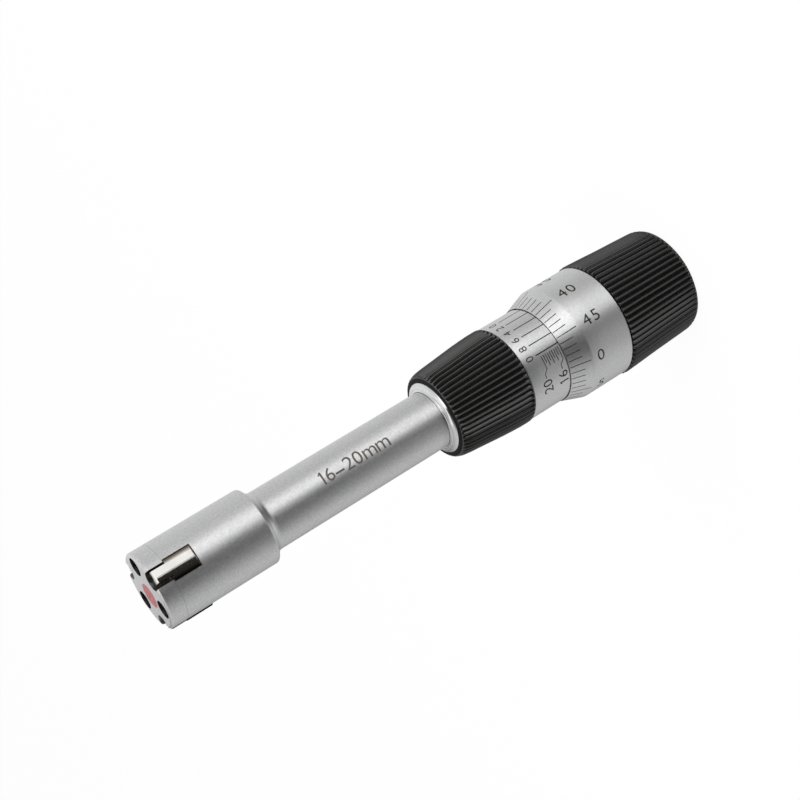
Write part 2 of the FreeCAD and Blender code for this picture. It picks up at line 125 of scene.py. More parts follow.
# a turned shell: one circle drawn out ring after ring, (diameter, depth) in mm
def turnRings(rings, sides, startAngle=0.0):
    diameter, depth = rings[0]
    deselectAll()
    bpy.ops.mesh.primitive_circle_add(vertices=sides, radius=diameter / 2 * mm,
                                      location=(0, 0, (axisTop - depth) * mm),
                                      rotation=(0, 0, startAngle))
    piece = bpy.context.object
    bpy.ops.object.transform_apply(location=True, rotation=True, scale=True)
    bpy.ops.object.mode_set(mode="EDIT")
    bpy.ops.mesh.select_all(action="SELECT")
    for nextDiameter, nextDepth in rings[1:] + rings[:1]:
        bpy.ops.mesh.extrude_region_move(
            TRANSFORM_OT_translate={"value": (0, 0, (depth - nextDepth) * mm)})
        growth = nextDiameter / diameter
        bpy.ops.transform.resize(value=(growth, growth, 1),
                                 center_override=(0, 0, (axisTop - nextDepth) * mm))
        diameter, depth = nextDiameter, nextDepth
    bpy.ops.mesh.select_all(action="SELECT")
    bpy.ops.mesh.remove_doubles(threshold=1e-7)
    bpy.ops.mesh.normals_make_consistent(inside=False)
    bpy.ops.object.mode_set(mode="OBJECT")
    return piece


# ribs pressed in between the crests: every column of the shell has a share of the groove depth
def cutRibs(piece, grip, shade):
    skin = 0.12 * mm  # round the bore, stays as it is
    floorShare = 0.6  # of the depth, from which a groove's floor gets painted shade
    columns, shares, fade = grip["columns"], grip["grooveShares"], grip["fade"]
    edge = fade[0][1][0]  # mm in from the ends, where the grooves begin
    step = fullTurn / (grip["ribs"] * columns)
    makeActive(piece)
    bpy.ops.object.mode_set(mode="EDIT")
    top, low = [(axisTop - end) * mm for end in grip["ends"]]

    def boreAt(height):
        return [dia for end, dia in grip["bores"] if axisTop - height / mm < end][0] / 2 * mm + skin

    def turnOf(point):  # from the +Y side, where a circle's first corner is
        return (math.atan2(point.y, point.x) - math.pi / 2) % fullTurn

    def inFloor(point):
        if math.hypot(point.x, point.y) < boreAt(point.z):
            return False
        if not edge < min(top - point.z, point.z - low) / mm:
            return False
        turn = int(turnOf(point) / step)
        return min(shares[turn % columns], shares[(turn + 1) % columns]) > floorShare

    # the deep groove floors get the painted shade material
    pickFaces(piece, inFloor)
    paintPicked(piece, shade)
    for level, reach in fade:
        for share in sorted(set(shares)):
            if share == 0:
                continue

            def inGroove(point):
                if math.hypot(point.x, point.y) < boreAt(point.z):
                    return False
                inside = min(top - point.z, point.z - low) / mm
                if not reach[0] <= inside < reach[1]:
                    return False
                return shares[round(turnOf(point) / step) % columns] == share

            pickVerts(piece, inGroove)
            scale = 1 - grip["grooveDepth"] * share * level
            bpy.ops.transform.resize(value=(scale, scale, 1), center_override=(0, 0, 0))
    bpy.ops.object.mode_set(mode="OBJECT")


# flat marks: x runs along the writing, y is the height of a figure, in mm
def lettering(words, size, place, stretch=1.0, thick=0.04):
    figureHeight = 0.73  # of the font's size
    deselectAll()
    bpy.ops.object.text_add()
    text = bpy.context.object
    text.data.body = words
    text.data.size = size / figureHeight
    text.data.align_x = "CENTER"
    text.data.align_y = "BOTTOM_BASELINE"
    text.data.extrude = thick
    text.data.resolution_u = 5
    bpy.ops.object.convert(target="MESH")
    piece = bpy.context.object
    low = Vector(map(min, *[vert.co for vert in piece.data.vertices]))
    high = Vector(map(max, *[vert.co for vert in piece.data.vertices]))
    middle = (low + high) / 2
    scale = size / (high.y - low.y) if words[0].isdigit() else 1.0
    base = low.y * scale if words[0].isdigit() else 0.0
    piece.location = (place[0] - middle.x * stretch * scale, place[1] - size / 2 - base, 0)
    piece.scale = (stretch * scale, scale, 1)
    bpy.ops.object.transform_apply(location=True, rotation=True, scale=True)
    bpy.ops.object.mode_set(mode="EDIT")
    bpy.ops.mesh.select_all(action="SELECT")
    bpy.ops.mesh.remove_doubles(threshold=1e-5)
    bpy.ops.mesh.normals_make_consistent(inside=False)
    bpy.ops.object.mode_set(mode="OBJECT")
    return piece


# an engraved line: a thin round rod through points of (x, y), in mm
def scratch(points, width):
    deselectAll()
    bpy.ops.curve.primitive_bezier_curve_add()
    line = bpy.context.object
    line.data.splines.clear()
    spline = line.data.splines.new("POLY")
    spline.points.add(len(points) - 1)
    for point, spot in zip(points, spline.points):
        spot.co = (point[0], point[1], 0, 1)
    line.data.bevel_depth = width / 2
    line.data.bevel_resolution = 1
    line.data.use_fill_caps = True
    line.data.dimensions = "3D"
    bpy.ops.object.convert(target="MESH")
    piece = bpy.context.object
    bpy.ops.object.mode_set(mode="EDIT")
    bpy.ops.mesh.select_all(action="SELECT")
    bpy.ops.mesh.remove_doubles(threshold=1e-5)
    bpy.ops.mesh.normals_make_consistent(inside=False)
    bpy.ops.object.mode_set(mode="OBJECT")
    return piece


# the short slanting stroke at the head of a figure 1
def flag(size, width, flatten=1.0):
    stroke = ((0.02, 0.47), (-0.2, 0.28))  # of the figure's height, from its middle
    piece = scratch([(x * size, y * size) for x, y in stroke], width)
    piece.scale = (1, 1, flatten)
    makeActive(piece)
    bpy.ops.object.transform_apply(location=True, rotation=True, scale=True)
    return piece


def sliceAlong(piece, axis, gap):
    makeActive(piece)
    spots = [vert.co[axis] for vert in piece.data.vertices]
    low, high = min(spots), max(spots)
    normal = [0, 0, 0]
    normal[axis] = 1
    bpy.ops.object.mode_set(mode="EDIT")
    count = int((high - low) / gap)
    for i in range(1, count + 1):
        bpy.ops.mesh.select_all(action="SELECT")
        point = [0, 0, 0]
        point[axis] = low + (high - low) * i / (count + 1)
        bpy.ops.mesh.bisect(plane_co=point, plane_no=normal, threshold=1e-6)
    bpy.ops.object.mode_set(mode="OBJECT")


# lays a flat mark round the axis: down the barrel, or round it with its top toward the head
def layRound(piece, depth, turn, radius, across=False):
    sliceAlong(piece, axis=0 if across else 1, gap=0.3)
    for vert in piece.data.vertices:
        x, y, z = vert.co
        down = depth - y if across else depth + x
        aside = -x if across else -y
        angle = math.radians(turn) + aside / radius
        vert.co = Vector((-math.sin(angle) * (radius + z), -math.cos(angle) * (radius + z),
                          axisTop - down)) * mm
    return piece


def joinAll(parts, name):
    deselectAll()
    for part in parts:
        part.select_set(True)
    bpy.context.view_layer.objects.active = parts[0]
    bpy.ops.object.join()
    parts[0].name = name
    return parts[0]


def engrave(piece, tool, ink):
    tool.data.materials.clear()
    tool.data.materials.append(ink)
    cut = piece.modifiers.new("cut", "BOOLEAN")
    cut.operation = "DIFFERENCE"
    cut.solver = "EXACT"
    cut.material_mode = "TRANSFER"
    cut.object = tool
    before = len(piece.data.polygons)
    applyAll(piece)
    print("engraved", tool.name, "faces", before, "to", len(piece.data.polygons))
    bpy.data.objects.remove(tool)


# materials
noiseLow, noiseHigh = 0.3, 0.7  # nearly all of a noise lies between these


def newMaterial(name):
    material = bpy.data.materials.new(name)
    material.use_nodes = True
    tree = material.node_tree
    tree.nodes.clear()
    out = tree.nodes.new("ShaderNodeOutputMaterial")
    shader = tree.nodes.new("ShaderNodeBsdfPrincipled")
    tree.links.new(shader.outputs[0], out.inputs[0])
    coords = tree.nodes.new("ShaderNodeTexCoord")
    return material, tree, shader, coords.outputs["Object"]


def noiseOn(tree, coords, scale, detail=3.0, stretch=(1, 1, 1)):
    mapping = tree.nodes.new("ShaderNodeMapping")
    mapping.inputs["Scale"].default_value = stretch
    noise = tree.nodes.new("ShaderNodeTexNoise")
    noise.inputs["Scale"].default_value = scale
    noise.inputs["Detail"].default_value = detail
    tree.links.new(coords, mapping.inputs["Vector"])
    tree.links.new(mapping.outputs[0], noise.inputs["Vector"])
    return noise.outputs["Fac"]


def spread(tree, value, low, high):
    fit = tree.nodes.new("ShaderNodeMapRange")
    fit.inputs["From Min"].default_value = noiseLow
    fit.inputs["From Max"].default_value = noiseHigh
    fit.inputs["To Min"].default_value = low
    fit.inputs["To Max"].default_value = high
    tree.links.new(value, fit.inputs["Value"])
    return fit.outputs[0]


def tint(tree, value, dark, light):
    ramp = tree.nodes.new("ShaderNodeValToRGB")
    ramp.color_ramp.elements[0].position = noiseLow
    ramp.color_ramp.elements[1].position = noiseHigh
    ramp.color_ramp.elements[0].color = (*dark, 1)
    ramp.color_ramp.elements[1].color = (*light, 1)
    tree.links.new(value, ramp.inputs["Fac"])
    return ramp.outputs["Color"]


def addBump(tree, shader, value, strength, distance):
    bump = tree.nodes.new("ShaderNodeBump")
    bump.inputs["Strength"].default_value = strength
    bump.inputs["Distance"].default_value = distance
    tree.links.new(value, bump.inputs["Height"])
    tree.links.new(bump.outputs[0], shader.inputs["Normal"])


# a darker tone over the base colour, where a value goes up to 1
def dimBy(tree, value, tone):
    shader = tree.nodes["Principled BSDF"]
    dimmed = tree.nodes.new("ShaderNodeMix")
    dimmed.data_type = "RGBA"
    dimmed.inputs[7].default_value = (*tone, 1)
    tree.links.new(value, dimmed.inputs[0])
    tree.links.new(shader.inputs["Base Color"].links[0].from_socket, dimmed.inputs[6])
    tree.links.new(dimmed.outputs[2], shader.inputs["Base Color"])


# a Math node, each value a number or another node's output
def calc(tree, operation, first, second=0.0):
    node = tree.nodes.new("ShaderNodeMath")
    node.operation = operation
    for spot, value in zip(node.inputs, (first, second)):
        if isinstance(value, float):
            spot.default_value = value
        else:
            tree.links.new(value, spot)
    return node.outputs[0]


# how far a point lies out toward a turn, and how far beside it with 90 degrees more
def alongTurn(tree, turn):
    angle = math.radians(turn)
    out = tree.nodes.new("ShaderNodeVectorMath")
    out.operation = "DOT_PRODUCT"
    out.inputs[1].default_value = (-math.sin(angle), -math.cos(angle), 0)
    tree.links.new(tree.nodes["Texture Coordinate"].outputs["Object"], out.inputs[0])
    return out.outputs["Value"]


def heightOf(tree):
    rise = tree.nodes.new("ShaderNodeSeparateXYZ")
    tree.links.new(tree.nodes["Texture Coordinate"].outputs["Object"], rise.inputs[0])
    return rise.outputs["Z"]


# turned metal: fine lines round the axis, a fine grain over them
def turnedMetal(name, dark, light, rough, lines, depth, around=900, grain=260):
    material, tree, shader, coords = newMaterial(name)
    rings = noiseOn(tree, coords, 1.0, 3.0, (around, around, lines))
    patches = noiseOn(tree, coords, grain, 4.0)
    shader.inputs["Metallic"].default_value = 1.0
    tree.links.new(tint(tree, patches, dark, light), shader.inputs["Base Color"])
    tree.links.new(spread(tree, rings, rough[0], rough[1]), shader.inputs["Roughness"])
    addBump(tree, shader, rings, 0.15, depth)
    return material


def plainMetal(name, dark, light, rough, grain, depth, patch=400):
    material, tree, shader, coords = newMaterial(name)
    fine = noiseOn(tree, coords, grain, 4.0)
    patches = noiseOn(tree, coords, patch, 3.0)
    shader.inputs["Metallic"].default_value = 1.0
    tree.links.new(tint(tree, patches, dark, light), shader.inputs["Base Color"])
    tree.links.new(spread(tree, fine, rough[0], rough[1]), shader.inputs["Roughness"])
    addBump(tree, shader, fine, 0.2, depth)
    return material


def mattCoat(name, dark, light, rough, grain, depth, patch=180, shine=0.5):
    material, tree, shader, coords = newMaterial(name)
    fine = noiseOn(tree, coords, grain, 5.0)
    patches = noiseOn(tree, coords, patch, 3.0)
    shader.inputs["Metallic"].default_value = 0.0
    shader.inputs["Specular IOR Level"].default_value = shine
    tree.links.new(tint(tree, patches, dark, light), shader.inputs["Base Color"])
    tree.links.new(spread(tree, fine, rough[0], rough[1]), shader.inputs["Roughness"])
    addBump(tree, shader, fine, 0.35, depth)
    return material


satinChrome = turnedMetal("satin chrome", dark=(0.67, 0.675, 0.68), light=(0.83, 0.83, 0.835),
                          rough=(0.33, 0.42), lines=2600, depth=5e-6, around=2200, grain=2600)
sleeveChrome = turnedMetal("sleeve chrome", dark=(0.71, 0.715, 0.72), light=(0.82, 0.82, 0.825),
                           rough=(0.31, 0.4), lines=3000, depth=4e-6, around=2600, grain=2600)
groundSteel = plainMetal("ground steel", dark=(0.6, 0.6, 0.6), light=(0.7, 0.7, 0.69),
                         rough=(0.07, 0.16), grain=9000, depth=1e-6)
mirrorSteel = plainMetal("lapped steel", dark=(0.58, 0.57, 0.55), light=(0.66, 0.65, 0.63),
                         rough=(0.045, 0.07), grain=9000, depth=4e-7)
turnedSteel = turnedMetal("turned steel", dark=(0.42, 0.42, 0.42), light=(0.5, 0.5, 0.49),
                          rough=(0.25, 0.4), lines=7000, depth=3e-6, around=80)
darkSteel = plainMetal("blackened steel", dark=(0.012, 0.012, 0.013), light=(0.035, 0.035, 0.038),
                       rough=(0.35, 0.5), grain=6000, depth=2e-6)
brightChrome = turnedMetal("bright chrome", dark=(0.74, 0.745, 0.75), light=(0.84, 0.84, 0.845),
                           rough=(0.13, 0.2), lines=5000, depth=1e-6, around=2600, grain=2600)
seamGrey = mattCoat("seam grey", dark=(0.1, 0.095, 0.09), light=(0.16, 0.155, 0.15),
                    rough=(0.5, 0.7), grain=8000, depth=5e-6, patch=2400, shine=0.3)
capChrome = satinChrome.copy()
capChrome.name = "cap chrome"
springSteel = plainMetal("spring wire", dark=(0.4, 0.4, 0.4), light=(0.52, 0.51, 0.5),
                         rough=(0.2, 0.35), grain=7000, depth=1e-6)
leadedBronze = turnedMetal("bronze", dark=(0.5, 0.3, 0.13), light=(0.6, 0.38, 0.17),
                           rough=(0.28, 0.4), lines=6000, depth=3e-6, around=80)
redEnamel = mattCoat("red enamel", dark=(0.26, 0.05, 0.055), light=(0.5, 0.18, 0.185),
                     rough=(0.4, 0.6), grain=5200, depth=2e-5, patch=2400, shine=0.4)
ribbedBlack = mattCoat("ribbed black", dark=(0.0072, 0.0067, 0.0062), light=(0.011, 0.0103, 0.0097),
                       rough=(0.17, 0.24), grain=5000, depth=1.2e-6, patch=1200, shine=1.0)
# groove floors: painted shade, darker and duller than the ribs
grooveShadeBlack = mattCoat("groove painted shade", dark=(0.0025, 0.0025, 0.0026), light=(0.005, 0.005, 0.0051),
                       rough=(0.6, 0.8), grain=5000, depth=8e-6, patch=1200, shine=0.12)
recessBlack = mattCoat("recess black", dark=(0.003, 0.003, 0.003), light=(0.008, 0.008, 0.008),
                       rough=(0.5, 0.7), grain=5000, depth=8e-6, patch=1200, shine=0.15)
blackPlate = mattCoat("black plate", dark=(0.01, 0.01, 0.011), light=(0.02, 0.02, 0.021),
                      rough=(0.4, 0.55), grain=3500, depth=1.5e-5)
darkInk = mattCoat("engraving ink", dark=(0.016, 0.011, 0.008), light=(0.04, 0.029, 0.021),
                   rough=(0.6, 0.8), grain=8000, depth=5e-6, patch=2400, shine=0.2)
etchedGrey = mattCoat("etched grey", dark=(0.07, 0.058, 0.05), light=(0.12, 0.1, 0.088),
                      rough=(0.5, 0.7), grain=8000, depth=5e-6, patch=2400, shine=0.3)

# painted shade inside the cap's screw recesses and anvil notches,
# and the joint at its lower edge shows as a fine line
capShadeAndJoint = {
    "recessTurns": (49.6, 169.6, 289.6),
    "recessCircle": 10.04,
    "recessDia": 3.55,
    "recessShadeTone": (0.17, 0.165, 0.16),
    "notchTurns": (-10.4, 109.6, 229.6),
    "notchMiddle": 6.47,  # of its round inner end, out from the axis
    "notchDia": 3.6,
    "notchShadeTone": (0.22, 0.21, 0.2),
    "jointDepth": 3.35,
    "jointWidth": 0.11,
    "jointTone": (0.55, 0.55, 0.56),
}


# darkens the base colour inside round holes: painted shade in the recesses and notches
def darkenHoles(tree, turns, middle, dia, tone, outward=False):
    nearest = None
    for turn in turns:
        short = calc(tree, "SUBTRACT", middle * mm, alongTurn(tree, turn))
        short = calc(tree, "MAXIMUM", short) if outward else short
        beside = alongTurn(tree, turn + 90)
        away = calc(tree, "SQRT", calc(tree, "ADD", calc(tree, "MULTIPLY", short, short),
                                       calc(tree, "MULTIPLY", beside, beside)))
        nearest = away if nearest is None else calc(tree, "MINIMUM", nearest, away)
    dimBy(tree, calc(tree, "LESS_THAN", nearest, dia / 2 * mm), tone)


tree = capChrome.node_tree
# painted shade in the screw recesses and in the anvil notches
darkenHoles(tree, capShadeAndJoint["recessTurns"], capShadeAndJoint["recessCircle"] / 2, capShadeAndJoint["recessDia"],
            capShadeAndJoint["recessShadeTone"])
darkenHoles(tree, capShadeAndJoint["notchTurns"], capShadeAndJoint["notchMiddle"], capShadeAndJoint["notchDia"],
            capShadeAndJoint["notchShadeTone"], outward=True)
jointTop = (axisTop - capShadeAndJoint["jointDepth"] + capShadeAndJoint["jointWidth"]) * mm
dimBy(tree, calc(tree, "LESS_THAN", heightOf(tree), jointTop), capShadeAndJoint["jointTone"])

# the anvils are lapped steel, with painted shade on their flanks and deep ends
anvilFlankShade = {
    "from": 1.3,  # beside the middle of the crown
    "to": 2.0,
    "endFrom": 8.2,
    "endTo": 8.6,
    "tone": (0.035, 0.028, 0.023),
}
anvilSteel = []
for i, turn in enumerate(capShadeAndJoint["notchTurns"]):
    steel = mirrorSteel.copy()
    steel.name = "anvil with painted shade " + str(i + 1)
    tree = steel.node_tree
    low, high = anvilFlankShade["from"] * mm, anvilFlankShade["to"] * mm
    flank = calc(tree, "ABSOLUTE", alongTurn(tree, turn + 90))
    flank = calc(tree, "DIVIDE", calc(tree, "SUBTRACT", flank, low), high - low)
    low, high = [(axisTop - anvilFlankShade[key]) * mm for key in ("endFrom", "endTo")]
    end = calc(tree, "DIVIDE", calc(tree, "SUBTRACT", low, heightOf(tree)), low - high)
    dark = calc(tree, "MINIMUM", calc(tree, "MAXIMUM", calc(tree, "MAXIMUM", flank, end)), 1.0)
    # painted shade darkens the flanks and the deep ends
    dimBy(tree, dark, anvilFlankShade["tone"])
    anvilSteel.append(steel)
print("materials made")

nodeFinish = {
    "head_body": satinChrome,
    "head_cap": capChrome,
    "cap_screws": recessBlack,
    "centre_disc": redEnamel,
    "cone": groundSteel,
    "push_rod": turnedSteel,
    "rod_ball": groundSteel,
    "rod_bush": leadedBronze,
    "barrel": turnedSteel,
    "thread_nut": turnedSteel,
    "spindle": turnedSteel,
    "ratchet_washer": darkSteel,
    "ratchet_plate": darkSteel,
    "ratchet_spring": springSteel,
    "ratchet_stud": darkSteel,
    "knob_core": turnedSteel,
    "end_disc": blackPlate,
    "anvil_1": anvilSteel[0],
    "anvil_2": anvilSteel[1],
    "anvil_3": anvilSteel[2],
}
for name, finish in nodeFinish.items():
    nodes[name].data.materials.clear()
    nodes[name].data.materials.append(finish)
print("finishes on the frame's nodes:", len(nodeFinish))

# camera
cameraView = {
    "place": (0.0, -0.263816, 0.174625),
    "right": (-0.52057038, -0.32513513, -0.7894894725),
    "up": (0.8535579, -0.22102858, -0.4717894502),
    "back": (-0.02110441, -0.91947459, 0.3925825868),
    "lens": 69.98,
    "sensor": 36,
    "nearest": 0.01,
}
deselectAll()
bpy.ops.object.camera_add()
camera = bpy.context.object
facing = Matrix((cameraView["right"], cameraView["up"], cameraView["back"])).transposed().to_4x4()
camera.matrix_world = Matrix.Translation(cameraView["place"]) @ facing
camera.data.lens = cameraView["lens"]
camera.data.sensor_width = cameraView["sensor"]
camera.data.clip_start = cameraView["nearest"]
bpy.context.scene.camera = camera

# collar between the neck and the front grip, a rounded flange behind a fine seam
neckCollar = {
    "start": 61.34,
    "boreDia": 9.04,
    "boreFrom": 0.16,  # below the start, as the flange's depths are
    "length": 1.58,
    "sides": 240,
    "flange": ((11.5, 0.16), (11.62, 0.03), (12.0, 0.03), (12.3, 0.08), (12.55, 0.14),
               (12.62, 0.21), (12.7, 0.17), (13.1, 0.25), (13.5, 0.34), (13.9, 0.45),
               (14.2, 0.55), (14.42, 0.66), (14.56, 0.77), (14.6, 0.84), (14.6, 0.9),
               (13.9, 0.9), (13.9, 1.58)),
    "seamRadius": 5.8,
    "seamEnd": 61.6,
    "smoothUnder": 40,  # degrees
}
collarRings = [(neckCollar["boreDia"], neckCollar["start"] + neckCollar["boreFrom"])]
collarRings += [(dia, neckCollar["start"] + depth) for dia, depth in neckCollar["flange"]]
collarRings.append((neckCollar["boreDia"], neckCollar["start"] + neckCollar["length"]))
collar = turnRings(collarRings, neckCollar["sides"])
collar.data.materials.append(brightChrome)
makeActive(collar)
bpy.ops.object.mode_set(mode="EDIT")
pickFaces(collar, lambda point: math.hypot(point.x, point.y) < neckCollar["seamRadius"] * mm
          and axisTop - point.z / mm < neckCollar["seamEnd"])
paintPicked(collar, seamGrey)
bpy.ops.object.mode_set(mode="OBJECT")
settle(collar, "neckCollar", neckCollar["smoothUnder"])
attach(collar, "frame")
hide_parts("collar")
print("collar turned, rings:", len(collarRings))

# front grip, the black ribbed hand piece ahead of the sleeve
frontGrip = {
    "ribs": 53,
    "columns": 10,
    "grooveShares": (1.0, 1.0, 0.86, 0.45, 0.12, 0.0, 0.12, 0.45, 0.86, 1.0),
    "grooveDepth": 0.05,  # of the radius
    "bores": ((69.0, 15.42), (90.0, 17.02)),  # each down to a depth
    "ends": (62.2, 78.64),
    "fade": ((0.3, (0.25, 0.4)), (0.7, (0.4, 0.6)), (0.92, (0.6, 0.9)),
             (1.0, (0.9, 40.0))),  # share of the depth, and where in from the ends
    "noseEnd": 62.4,
    "rings": [(15.42, 62.25), (14.66, 62.25), (14.7, 62.2), (15.5, 62.2), (16.0, 62.25),
              (16.4, 62.36), (16.8, 62.5), (17.05, 62.7), (17.2, 62.95), (17.4, 63.2),
              (17.52, 63.4), (17.64, 63.65), (17.76, 63.95), (18.0, 64.8), (18.36, 66.8),
              (18.84, 69.3), (19.44, 72.4), (19.76, 74.6), (19.98, 76.6), (20.0, 77.7),
              (20.0, 78.15), (19.98, 78.4), (19.7, 78.62), (17.02, 78.62), (17.02, 69.8),
              (15.42, 69.8)],
    "smoothUnder": 60,
}
grip = turnRings(frontGrip["rings"], frontGrip["ribs"] * frontGrip["columns"])
grip.data.materials.append(ribbedBlack)
cutRibs(grip, frontGrip, grooveShadeBlack)
makeActive(grip)
bpy.ops.object.mode_set(mode="EDIT")
pickFaces(grip, lambda point: axisTop - point.z / mm < frontGrip["noseEnd"])
paintPicked(grip, recessBlack)
bpy.ops.object.mode_set(mode="OBJECT")
settle(grip, "frontGrip", frontGrip["smoothUnder"])
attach(grip, "frame")
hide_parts("front_grip")
print("front grip ribs:", frontGrip["ribs"])

# rear grip on the ratchet knob
rearGrip = {
    "ribs": 61,
    "columns": 10,
    "grooveShares": (1.0, 1.0, 0.86, 0.45, 0.12, 0.0, 0.12, 0.45, 0.86, 1.0),
    "grooveDepth": 0.042,
    "bores": ((130.0, 20.42),),
    "ends": (101.75, 119.55),
    "fade": ((0.8, (0.05, 0.2)), (1.0, (0.2, 40.0))),
    "rings": [(20.42, 101.85), (23.3, 101.85), (23.6, 101.9), (23.82, 102.06), (23.9, 102.3),
              (23.88, 102.7), (23.8, 103.6), (23.56, 106.0), (23.26, 108.6), (23.0, 111.0),
              (22.8, 113.4), (22.58, 116.0), (22.36, 118.3), (22.24, 119.0), (22.05, 119.4),
              (21.7, 119.72), (21.2, 119.9), (20.8, 119.95), (20.42, 119.95)],
    "smoothUnder": 60,
}
knobGrip = turnRings(rearGrip["rings"], rearGrip["ribs"] * rearGrip["columns"])
knobGrip.data.materials.append(ribbedBlack)
cutRibs(knobGrip, rearGrip, grooveShadeBlack)
settle(knobGrip, "rearGrip", rearGrip["smoothUnder"])
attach(knobGrip, "knob")
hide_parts("rear_grip")
print("rear grip ribs:", rearGrip["ribs"])

# return spring round the push rod, wound at one length; the real one shortens as the rod moves up
returnSpring = {
    "wire": 0.5,
    "wireSides": 10,
    "turns": 5,
    "steps": 28,
    "keep": 0.668,  # of its length with the rod right up
    "smoothUnder": 50,
}
low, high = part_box("rod_spring")
wireRadius = returnSpring["wire"] / 2 * mm
deselectAll()
bpy.ops.mesh.primitive_circle_add(vertices=returnSpring["wireSides"], radius=wireRadius,
                                  location=(high[0] - wireRadius, 0, low[2] + wireRadius),
                                  rotation=(math.radians(90), 0, 0))
spring = bpy.context.object
bpy.ops.object.transform_apply(location=True, rotation=True, scale=True)
winding = spring.modifiers.new("winding", "SCREW")
winding.angle = fullTurn * returnSpring["turns"]
winding.screw_offset = high[2] - low[2] - 2 * wireRadius
winding.steps = winding.render_steps = returnSpring["steps"] * returnSpring["turns"]
applyAll(spring)
bpy.ops.object.mode_set(mode="EDIT")
bpy.ops.mesh.select_all(action="SELECT")
bpy.ops.mesh.fill_holes(sides=returnSpring["wireSides"])
bpy.ops.mesh.normals_make_consistent(inside=False)
bpy.ops.object.mode_set(mode="OBJECT")
spring.data.materials.append(springSteel)
settle(spring, "returnSpring", returnSpring["smoothUnder"])
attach(spring, "frame")
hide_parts("rod_spring")
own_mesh(spring)
print("return spring wound, turns:", returnSpring["turns"])

# graduated sleeve with its vernier and the four-millimetre scale
sleeveMarks = {
    "sides": 500,
    "rings": [(19.5, 78.62), (19.66, 78.68), (19.7, 78.8), (19.7, 84.0), (19.7, 92.9), (19.5, 93.0),
              (17.02, 93.0), (17.02, 78.62)],
    "radius": 9.85,
    "lineWidth": 0.2,
    "zeroWidth": 0.24,
    "fineWidth": 0.175,
    "flagWidth": 0.2,
    "vernierFrom": 81.85,
    "vernierTo": 87.6,
    "vernierStep": -12.96,
    "vernierDigits": "086420",
    "digitDepth": 80.4,
    "digitSize": 1.65,
    "digitStretch": 0.95,
    "scaleFrom": 82.75,
    "scaleStep": 0.5,
    "scaleLines": 9,
    "scaleTop": 3.3,
    "shortEnd": 12.7,
    "longEnd": 17.3,
    "leaders": {0: ((18.6, 0), (23.4, 0.75), (28.3, 0.75)),  # down to the 20
                8: ((18.6, 0), (22.9, 0.85), (28.5, 0.85))},  # down to the 16
    "ends": (("2", 82.0, 43.2), ("0", 82.0, 34.4), ("1", 85.78, 43.4), ("6", 85.78, 34.4)),
    "endSize": 2.1,
    "smoothUnder": 12,
}
sleeve = turnRings(sleeveMarks["rings"], sleeveMarks["sides"])
sleeve.data.materials.append(sleeveChrome)


def onSleeve(piece, depth, turn, across=False):
    return layRound(piece, depth, turn, sleeveMarks["radius"], across)


def arc(degrees):
    return math.radians(degrees) * sleeveMarks["radius"]


tools = []
for i, digit in enumerate(sleeveMarks["vernierDigits"]):
    turn = sleeveMarks["vernierStep"] * i
    width = sleeveMarks["lineWidth"] if i else sleeveMarks["zeroWidth"]
    line = scratch([(sleeveMarks["vernierFrom"], 0), (sleeveMarks["vernierTo"], 0)], width)
    tools.append(onSleeve(line, 0, turn))
    number = lettering(digit, sleeveMarks["digitSize"], (0, 0), sleeveMarks["digitStretch"])
    tools.append(onSleeve(number, sleeveMarks["digitDepth"], turn, across=True))
for i in range(sleeveMarks["scaleLines"]):
    depth = sleeveMarks["scaleFrom"] + sleeveMarks["scaleStep"] * i
    end = sleeveMarks["shortEnd"] if i % 2 else sleeveMarks["longEnd"]
    points = [(-arc(sleeveMarks["scaleTop"]), 0)]
    points += [(-arc(turn), aside) for turn, aside in sleeveMarks["leaders"].get(i, ((end, 0),))]
    line = scratch(points, sleeveMarks["fineWidth"])
    tools.append(onSleeve(line, depth, 0, across=True))
for figure, depth, turn in sleeveMarks["ends"]:
    number = lettering(figure, sleeveMarks["endSize"], (0, 0))
    tools.append(onSleeve(number, depth, turn, across=True))
engrave(sleeve, joinAll(tools, "sleeveTool"), darkInk)
for figure, depth, turn in sleeveMarks["ends"]:
    if figure == "1":
        stroke = flag(sleeveMarks["endSize"], sleeveMarks["flagWidth"])
        engrave(sleeve, onSleeve(stroke, depth, turn, across=True), darkInk)
settle(sleeve, "sleeveShell", sleeveMarks["smoothUnder"])
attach(sleeve, "frame")
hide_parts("sleeve")
print("sleeve engraved, marks:", len(tools))

# thimble with fifty divisions on its bevel and a number at every fifth
thimbleMarks = {
    "divisions": 50,
    "columns": 8,  # of the shell to a division, a line is one of them
    "dia": 23.3,
    "mouthDia": 20.12,
    "bevelFrom": 87.34,
    "bevelTo": 91.9,
    "zeroTurn": 31.98,  # degrees, where the 0 stands at rest
    "lineShare": 0.3,  # of a column, either side of a line's middle
    "lineDepth": 0.06,
    "lineFrom": 87.45,
    "shortTo": 90.1,
    "longTo": 91.5,
    "innerRadius": 10.05,
    "mouthRadius": 10.0,
    "mouthFrom": 87.38,
    "mouthTo": 87.58,
    "firstFigure": 94.08,
    "secondFigure": 96.26,
    "zeroFigure": 93.87,
    "figureSize": 2.2,
    "figureStretch": 1.15,
    "flagWidth": 0.22,
    "smoothUnder": 12,
}


def bevelDia(depth):
    start, end = thimbleMarks["bevelFrom"], thimbleMarks["bevelTo"]
    share = (depth - start) / (end - start)
    growth = thimbleMarks["dia"] - thimbleMarks["mouthDia"]
    return thimbleMarks["mouthDia"] + growth * min(max(share, 0), 1)


